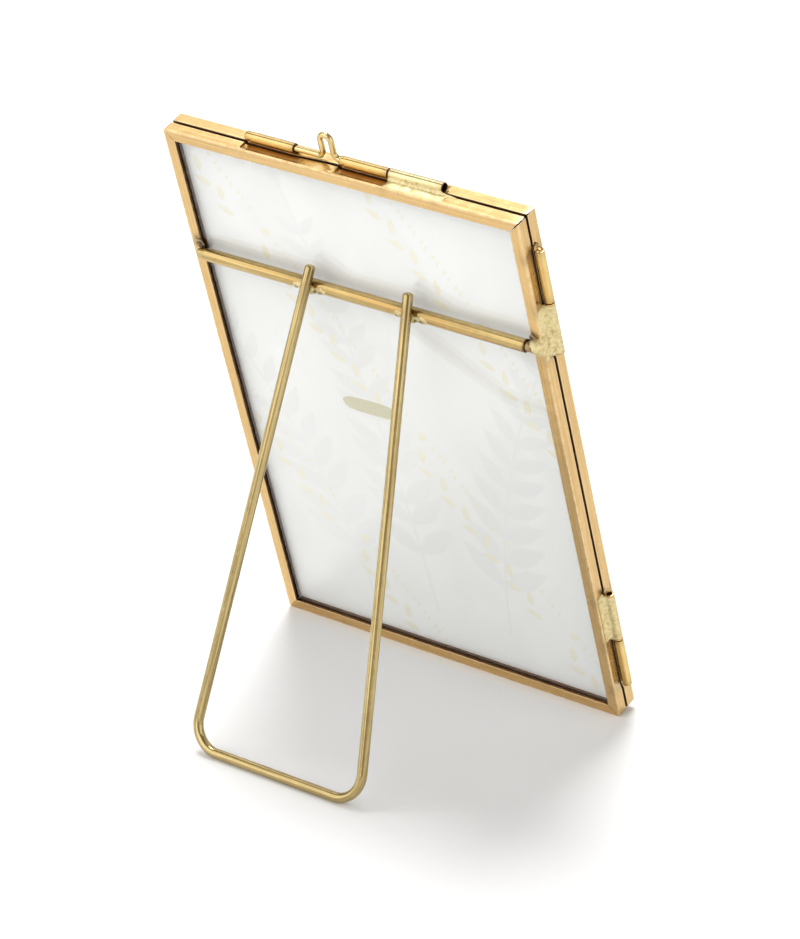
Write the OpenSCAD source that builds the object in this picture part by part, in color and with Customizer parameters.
// Hinged double-glass brass picture frame with a folding wire stand at its back.
// Two folded brass channels, each round its own pane, are joined by two tube hinges
// at one side and kept shut by a wire pin in three tubes on top. A bent wire leg is
// soldered to a sleeve that turns on a cross rod behind the rear frame.
//
// The part stands as in use: +Z is up, the picture faces -Y and the leg is at +Y.
// Left and right are as seen from behind, so left is +X and the hinges are at -X.
// The origin is on the table, at the middle of the part's footprint.

/* [Frame] */
// Height of each brass frame, along its own face
frame_h = 156; // [150:0.5:200]
// Width of each brass frame
frame_w = 104.4; // [100:0.2:140]
// Depth of one folded channel, from lip to lip
channel_d = 3.2; // [3.0:0.1:4.0]
// Thickness of the brass sheet
sheet_t = 0.6; // [0.5:0.05:0.7]
// Width of the lips that hold the glass
lip_w = 3; // [2.6:0.1:4]
// Radius of a frame's outer corners
corner_r = 0.6; // [0.5:0.1:1]
// Gap between the two frames, where the print lies
frame_gap = 0.7; // [0.6:0.05:1]
// Angle that the frame leans back from upright
lean_angle = 16.8; // [12:0.2:20]

/* [Seams] */
// Width of the slits where the lips meet in a mitre
mitre_gap = 0.12; // [0.08:0.01:0.2]
// Width of the open joint where the two ends of a channel meet
closure_gap = 0.3; // [0.2:0.05:0.5]

/* [Glass and print] */
// Thickness of each pane
glass_t = 1.9; // [1.6:0.1:1.9]
// Space between the edge of a pane and the brass around it
glass_play = 0.8; // [0.8:0.1:1.2]
// Width of the photo print
print_w = 101.6; // [90:0.2:101.6]
// Height of the photo print
print_h = 152.4; // [140:0.2:152.4]
// Thickness of the photo print
print_t = 0.25; // [0.2:0.01:0.3]

/* [Tubes] */
// Outer diameter of the hinge knuckles and latch guides
tube_d = 2.4; // [2.2:0.1:2.5]
// Outer diameter of the latch keeper
keeper_d = 2.6; // [2.4:0.1:2.8]
// Bore of the latch keeper, which holds the pin's tip loosely
keeper_bore = 2.1; // [2.1:0.05:2.2]
// Diameter of the hinge pins and of the latch wire
pin_d = 1.5; // [1.4:0.1:1.6]
// Radial clearance of a pin that turns or slides in a tube
running_clearance = 0.06; // [0.03:0.01:0.1]
// Height of the tube axes above the frames' outer walls
tube_rise = 1; // [1:0.05:1.2]
// Distance from the front frame's back face forward to the tube axes
tube_inset = 0.5; // [0.4:0.05:0.6]

/* [Hinges] */
// Length of one hinge knuckle
knuckle_len = 15; // [12:0.5:18]
// Height up the frame where the upper hinge's knuckles meet
upper_hinge_z = 130.5; // [120:0.5:132]
// Height up the frame where the lower hinge's knuckles meet
lower_hinge_z = 23.5; // [20:0.5:30]
// End play between the two knuckles of a hinge
knuckle_play = 0.3; // [0.2:0.05:0.5]
// How far a hinge pin's ends lie inside its tubes
pin_recess = 1.5; // [1:0.1:3]

/* [Latch] */
// Length of the inner latch guide, beside the keeper
guide_len = 14; // [12:0.5:14]
// Length of the outer latch guide, which holds the pin's tail
outer_guide_len = 14.5; // [12:0.5:16]
// Length of the latch keeper on the rear frame
keeper_len = 15.6; // [12:0.2:18]
// Place across the frame where the inner guide ends and the keeper begins
latch_meet_x = -13.2; // [-15:0.1:-12]
// Place across the frame of the outer guide's inner end
outer_guide_x = 14.7; // [14:0.1:16]
// Place across the frame of the finger loop
loop_x = 4.6; // [4.6:0.1:5.2]
// Height of the finger loop above the pin
loop_h = 6.5; // [5:0.1:8]
// Radius of the hairpin at the loop's top
hairpin_r = 1.6; // [1.4:0.1:1.8]
// How far the pin's tip lies inside the keeper when shut
latch_engagement = 3.6; // [3:0.1:4]

/* [Stand] */
// Height of the cross rod, up the frame
bar_z = 120; // [115:0.5:125]
// Diameter of the cross rod
rod_d = 2.5; // [2.2:0.1:2.6]
// Outer diameter of the sleeve that turns on the rod
sleeve_d = 3.3; // [3.1:0.1:3.4]
// Length of the sleeve
sleeve_len = 96; // [90:0.5:96]
// How far the rod and the stand lie to the hinge side of the middle
stand_shift = 0.5; // [0:0.1:0.6]
// Diameter of the leg wire
wire_d = 2.6; // [2.4:0.1:2.8]
// Angle of the open leg from upright
leg_angle = 17.5; // [14:0.5:20]
// Distance between the two leg wires at the sleeve
leg_top_w = 30; // [24:0.5:36]
// Distance between the two leg wires at the foot
leg_foot_w = 51.6; // [44:0.2:60]
// Radius of the bends at the foot, at the wire's middle
foot_bend_r = 7; // [5:0.5:9]
// Length of the leg wires above the sleeve's axis
stub_len = 5.2; // [4:0.1:5.2]

/* [Hidden] */
$fn = 48;

// A margin that carries a cut past the face it goes through
past = 1;
// The small gap that keeps solder off the brass it lies on
film = 0.02;
// How much a bent wire's radius swells, and how far a straight run reaches into a bend
bend_swell = 0.01;
bend_grip = 0.1;

// Places along the panel's own Y, which runs through it from front to back.
// Y is 0 at the rear frame's back face.
rear_face_y = -channel_d;
front_face_y = rear_face_y - frame_gap;
panel_d = 2 * channel_d + frame_gap;
tube_y = front_face_y - tube_inset;

// Places of the tube axes outside the frames
hinge_x = -frame_w / 2 - tube_rise;
latch_z = frame_h + tube_rise;
guide_bore = pin_d + 2 * running_clearance;

// A dent is a shallow trough pressed into a frame's outer wall, deepest at the gap
// between the frames, where it lets a tube lie close.
dent_depth = 0.9;
dent_reach = 2.6;
dent_r = (dent_reach * dent_reach + dent_depth * dent_depth) / (2 * dent_depth);
dent_rise = dent_r - dent_depth;
dent_wall = 0.45;
dent_end = 0.5;

// Ends of each dent, [from, to], along the top and along the hinge side
keeper_end_x = latch_meet_x - keeper_len;
inner_guide_x = latch_meet_x + guide_len + knuckle_play;
outer_guide_end = outer_guide_x + outer_guide_len;
top_dents = [[keeper_end_x, inner_guide_x], [outer_guide_x, outer_guide_end]];
side_dents = [for (z = [lower_hinge_z, upper_hinge_z]) [z - knuckle_len, z + knuckle_len]];

// The latch wire's ends: the tip in the keeper, and the tail in the outer guide
latch_tip_x = latch_meet_x - latch_engagement;
latch_tail_x = outer_guide_x + 9;
near_bend_r = 1.5;
far_bend_r = 1.9;

// The stand: the rod lies on the rear frame's back lip
rod_y = rod_d / 2;
sleeve_bore = rod_d + 2 * 0.1;
rod_len = frame_w - 4;
leg_offset = sleeve_d / 2 + wire_d / 2 - 0.05;
bar_world_y = rod_y * cos(lean_angle) + bar_z * sin(lean_angle);
bar_world_z = -rod_y * sin(lean_angle) + bar_z * cos(lean_angle);
foot_r = wire_d / 2 + bend_swell;
leg_len = (bar_world_z + leg_offset * sin(leg_angle) - foot_r) / cos(leg_angle);
foot_world_y = bar_world_y + leg_offset * cos(leg_angle) + leg_len * sin(leg_angle);
leg_spread = atan((leg_foot_w - leg_top_w) / 2 / leg_len);
end_chamfer = 0.4;

// The middle of the footprint, in the frame whose zero is the rear frame's lowest edge
reach_left = frame_w / 2;
reach_right = frame_w / 2 + tube_rise + tube_d / 2;
reach_front = panel_d * cos(lean_angle);
reach_back = foot_world_y + foot_r;
middle_x = (reach_left - reach_right) / 2;
middle_y = (reach_back - reach_front) / 2;

BRASS = [0.84, 0.68, 0.42];
TUBE = [0.86, 0.71, 0.42];
WIRE = [0.80, 0.69, 0.38];
SOLDER = [0.87, 0.82, 0.62];
GLASS = [0.86, 0.93, 0.92, 0.35];
PAPER = [0.96, 0.96, 0.94];

// ---- Placing -----------------------------------------------------------------

// The leaning panel: X across, Y through it towards its back, Z up its face
module on_panel() translate([-middle_x, -middle_y, 0]) rotate([-lean_angle, 0, 0]) children();

// The stand's axes: the origin is on the rod's axis, -Z runs down the leg
module on_stand()
    translate([-middle_x - stand_shift, bar_world_y - middle_y, bar_world_z])
        rotate([leg_angle, 0, 0]) children();

// A hinge tube's line, running up the side of the frames from a given height
module on_hinge(z) on_panel() translate([hinge_x, tube_y, z]) children();

// The latch tubes' line, running along the top towards -X from a given place
module on_latch(x) on_panel() translate([x, tube_y, latch_z]) rotate([0, -90, 0]) children();

// ---- Shapes ------------------------------------------------------------------

module tube(d, bore, length)
    difference() {
        cylinder(d = d, h = length);
        translate([0, 0, -past]) cylinder(d = bore, h = length + 2 * past);
    }

// A block with rounded corners, standing on its bottom edge, with its back at y = 0
module rounded_slab(w, h, d, r)
    rotate([90, 0, 0]) linear_extrude(d) {
        translate([-w / 2 + r, 0]) square([w - 2 * r, h]);
        translate([-w / 2, r]) square([w, h - 2 * r]);
        for (x = [-1, 1], z = [r, h - r]) translate([x * (w / 2 - r), z]) circle(r);
    }

// A block inset all round by a margin, at a given depth
module inner_block(margin, from_y, depth)
    translate([-frame_w / 2 + margin, from_y, margin])
        cube([frame_w - 2 * margin, depth, frame_h - 2 * margin]);

// Troughs along the top and the hinge side, at the face between the frames.
// Growing them by a wall's thickness gives the pressed-in brass behind them.
module dents(face_y, grow) {
    for (d = top_dents)
        translate([d[0] - dent_end - grow, face_y, frame_h + dent_rise]) rotate([0, 90, 0])
            cylinder(r = dent_r + grow, h = d[1] - d[0] + 2 * (dent_end + grow));
    for (d = side_dents)
        translate([-frame_w / 2 - dent_rise, face_y, d[0] - dent_end - grow])
            cylinder(r = dent_r + grow, h = d[1] - d[0] + 2 * (dent_end + grow));
}

// Slits across the corners of the lips, and the open joint at the top of the hinge side
module seams() {
    slit_len = lip_w * sqrt(2);
    for (x = [-1, 1], top = [0, 1]) {
        closing = top == 1 && x == -1;
        width = closing ? closure_gap : mitre_gap;
        start = closing ? -past : sheet_t * sqrt(2);
        translate([x * frame_w / 2, -channel_d - past, top * frame_h])
            rotate([0, (top == 1 ? 45 : 135) * -x, 0])
                translate([-width / 2, 0, -slit_len - past])
                    cube([width, channel_d + 2 * past, slit_len + past - start]);
    }
}

// A folded channel bent round a pane. Its back face is at y = 0 before it is placed,
// and face_y is the side that meets the other frame.
module channel(face_y)
    difference() {
        union() {
            difference() {
                rounded_slab(frame_w, frame_h, channel_d, corner_r);
                inner_block(sheet_t, -channel_d + sheet_t, channel_d - 2 * sheet_t);
                inner_block(lip_w, -channel_d - past, channel_d + 2 * past);
            }
            intersection() {
                rounded_slab(frame_w, frame_h, channel_d, corner_r);
                dents(face_y, dent_wall);
            }
        }
        dents(face_y, 0);
        seams();
    }

module pane() inner_block(sheet_t + glass_play, -(channel_d + glass_t) / 2, glass_t);

// The section of the solder beside a tube, drawn about the tube's axis: the first
// axis points to the solder's own frame, and the second points out of the frames.
// lip is the distance from the axis to that frame's face.
module solder_section(lip, d, outline)
    difference() {
        intersection() {
            polygon(outline);
            translate([lip, dent_rise - tube_rise]) circle(dent_r - film, $fn = 96);
        }
        circle(d / 2 + film);
    }

rear_lip = frame_gap + tube_inset;
front_lip = -tube_inset;
rear_outline = [[0.2, 1.15], [1.1, 0.9], [2.3, -0.1], [3.5, -0.85], [3.5, -2.4],
    [1.3, -2.4], [0.9, -0.9]];
front_outline = [[0.2, 1.15], [1, 0.85], [1.6, -0.1], [2, -0.85], [2, -2.4],
    [-0.4, -2.4], [-0.4, -1]];

// Solder along a hinge knuckle: side is 1 for the rear frame and -1 for the front one
module hinge_solder(z, side)
    on_hinge(z) linear_extrude(knuckle_len - 1)
        mirror([0, side < 0 ? 1 : 0]) rotate(90)
            solder_section(side > 0 ? rear_lip : front_lip, tube_d,
                side > 0 ? rear_outline : front_outline);

// Solder along a latch tube of a given diameter
module latch_solder(x, length, d, side)
    on_latch(x) linear_extrude(length)
        mirror([0, side < 0 ? 1 : 0]) rotate(90) mirror([0, 1])
            solder_section(side > 0 ? rear_lip : front_lip, d,
                side > 0 ? rear_outline : front_outline);

// A spindle-shaped bead of solder with its long axis along X
module bead(length, d)
    rotate([0, 90, 0]) rotate_extrude()
        polygon([for (a = [-90 : 18 : 90]) [d / 2 * cos(a), length / 2 * sin(a)]]);

// A bend of wire, which turns in the XZ plane from an angle by a sweep. Bending swells
// the wire a hair, and the straight runs reach a little way into the bend.
module wire_bend(r, d, from, sweep)
    rotate([90, -from, 0]) rotate_extrude(angle = sweep) translate([r, 0])
        circle(d = d + 2 * bend_swell);

// A straight run of wire up the Z axis, which reaches into a bend at each end named
module wire_run(d, length, into_start, into_end)
    translate([0, 0, into_start ? -bend_grip : 0])
        cylinder(d = d, h = length + (into_start ? bend_grip : 0) + (into_end ? bend_grip : 0));

// ---- Rear frame --------------------------------------------------------------

module rear_channel() color(BRASS) on_panel() channel(rear_face_y);
module rear_glass() color(GLASS) on_panel() pane();

module photo_print()
    color(PAPER) on_panel()
        translate([-print_w / 2, rear_face_y - film - print_t, (frame_h - print_h) / 2])
            cube([print_w, print_t, print_h]);

// The knuckles' bores grip the pin on the rear frame and turn on it on the front one
module held_knuckle(z) color(TUBE) on_hinge(z) tube(tube_d, pin_d - film, knuckle_len);
module turning_knuckle(z) color(TUBE) on_hinge(z) tube(tube_d, guide_bore, knuckle_len);

module hinge_pin(z)
    color(WIRE) on_hinge(z - knuckle_len + pin_recess)
        cylinder(d = pin_d, h = 2 * (knuckle_len - pin_recess));

module upper_rear_knuckle() held_knuckle(upper_hinge_z - knuckle_len - knuckle_play / 2);
module lower_rear_knuckle() held_knuckle(lower_hinge_z + knuckle_play / 2);
module upper_hinge_pin() hinge_pin(upper_hinge_z);
module lower_hinge_pin() hinge_pin(lower_hinge_z);
module upper_rear_solder() color(SOLDER) hinge_solder(upper_hinge_z - knuckle_len + 0.3, 1);
module lower_rear_solder() color(SOLDER) hinge_solder(lower_hinge_z + 0.7, 1);

module latch_keeper() color(TUBE) on_latch(latch_meet_x) tube(keeper_d, keeper_bore, keeper_len);
module latch_keeper_solder()
    color(SOLDER) latch_solder(latch_meet_x - 0.3, keeper_len - 0.6, keeper_d, 1);

module cross_rod()
    color(WIRE) on_panel() translate([-rod_len / 2 - stand_shift, rod_y, bar_z]) rotate([0, 90, 0])
        cylinder(d = rod_d, h = rod_len);

// Solder that holds one end of the rod to the rear frame's lip
module rod_solder(side)
    color(SOLDER) on_panel() intersection() {
        translate([side * (frame_w / 2 - 1.7), rod_y - 0.3, bar_z]) bead(3.2, 5);
        translate([side * frame_w / 2 - 4, film, bar_z - 5]) cube([8, 5, 10]);
    }
module rod_solder_left() rod_solder(1);
module rod_solder_right() rod_solder(-1);

// ---- Front frame -------------------------------------------------------------

// The front frame is the rear one turned to face it
module as_front() translate([0, -panel_d, 0]) mirror([0, 1, 0]) children();

module front_channel() color(BRASS) on_panel() as_front() channel(rear_face_y);
module front_glass() color(GLASS) on_panel() as_front() pane();

module upper_front_knuckle() turning_knuckle(upper_hinge_z + knuckle_play / 2);
module lower_front_knuckle() turning_knuckle(lower_hinge_z - knuckle_len - knuckle_play / 2);
module upper_front_solder() color(SOLDER) hinge_solder(upper_hinge_z + 0.7, -1);
module lower_front_solder() color(SOLDER) hinge_solder(lower_hinge_z - knuckle_len + 0.3, -1);

module latch_guide(x, length) color(TUBE) on_latch(x) tube(tube_d, guide_bore, length);
module outer_latch_guide() latch_guide(outer_guide_end, outer_guide_len);
module inner_latch_guide() latch_guide(inner_guide_x, guide_len);
module outer_guide_solder()
    color(SOLDER) latch_solder(outer_guide_end - 0.5, outer_guide_len - 1, tube_d, -1);
module inner_guide_solder()
    color(SOLDER) latch_solder(inner_guide_x - 0.5, guide_len - 1, tube_d, -1);

// ---- Latch pin ---------------------------------------------------------------

// One straight wire with a hairpin loop bent up in it as a finger grip
module latch_pin() {
    near_x = loop_x + hairpin_r;
    far_x = loop_x - hairpin_r;
    tail_x = near_x + near_bend_r;
    tip_x = far_x - far_bend_r;
    top_z = loop_h - hairpin_r;
    color(WIRE) on_panel() translate([0, tube_y, latch_z]) {
        translate([tail_x, 0, 0]) rotate([0, 90, 0])
            wire_run(pin_d, latch_tail_x - tail_x, true, false);
        translate([tail_x, 0, near_bend_r]) wire_bend(near_bend_r, pin_d, 180, 90);
        translate([near_x, 0, near_bend_r]) wire_run(pin_d, top_z - near_bend_r, true, true);
        translate([loop_x, 0, top_z]) wire_bend(hairpin_r, pin_d, 0, 180);
        translate([far_x, 0, far_bend_r]) wire_run(pin_d, top_z - far_bend_r, true, true);
        translate([tip_x, 0, far_bend_r]) wire_bend(far_bend_r, pin_d, -90, 90);
        translate([latch_tip_x, 0, 0]) rotate([0, 90, 0])
            wire_run(pin_d, tip_x - latch_tip_x, false, true);
    }
}

// ---- Stand -------------------------------------------------------------------

module stand_sleeve()
    color(WIRE) on_stand() translate([-sleeve_len / 2, 0, 0]) rotate([0, 90, 0])
        tube(sleeve_d, sleeve_bore, sleeve_len);

// One wire bent into a wide U. The legs spread towards the foot, and their short top
// ends meet the rear pane, which stops the stand when it is open.
module stand_leg() {
    tangent = foot_bend_r * tan(45 + leg_spread / 2);
    straight = leg_len / cos(leg_spread) - tangent + stub_len - end_chamfer;
    bend_x = leg_foot_w / 2 - tangent;
    color(WIRE) on_stand() translate([0, leg_offset, 0]) {
        for (side = [0, 1]) mirror([side, 0, 0]) translate([bend_x, 0, foot_bend_r - leg_len]) {
            wire_bend(foot_bend_r, wire_d, -90, 90 + leg_spread);
            rotate([0, -leg_spread, 0]) translate([foot_bend_r, 0, 0]) {
                wire_run(wire_d, straight, true, false);
                translate([0, 0, straight])
                    cylinder(d1 = wire_d, d2 = wire_d - 2 * end_chamfer, h = end_chamfer);
            }
        }
        translate([-bend_x, 0, -leg_len]) rotate([0, 90, 0])
            wire_run(wire_d, 2 * bend_x, true, true);
    }
}

// Solder where a leg wire crosses the sleeve, which it doesn't enter
module leg_solder(side)
    color(SOLDER) on_stand() difference() {
        translate([side * leg_top_w / 2, sleeve_d / 2 + 0.3, 0]) bead(8, 3);
        translate([side * leg_top_w / 2 - 5, 0, 0]) rotate([0, 90, 0])
            cylinder(d = sleeve_d - 0.2, h = 10);
    }
module leg_solder_left() leg_solder(1);
module leg_solder_right() leg_solder(-1);

// ---- Which node is drawn -----------------------------------------------------

rear_channel();
rear_glass();
photo_print();
upper_rear_knuckle();
lower_rear_knuckle();
upper_rear_solder();
lower_rear_solder();
upper_hinge_pin();
lower_hinge_pin();
latch_keeper();
latch_keeper_solder();
cross_rod();
rod_solder_left();
rod_solder_right();
front_channel();
front_glass();
upper_front_knuckle();
lower_front_knuckle();
upper_front_solder();
lower_front_solder();
outer_latch_guide();
inner_latch_guide();
outer_guide_solder();
inner_guide_solder();
latch_pin();
stand_sleeve();
stand_leg();
leg_solder_left();
leg_solder_right();
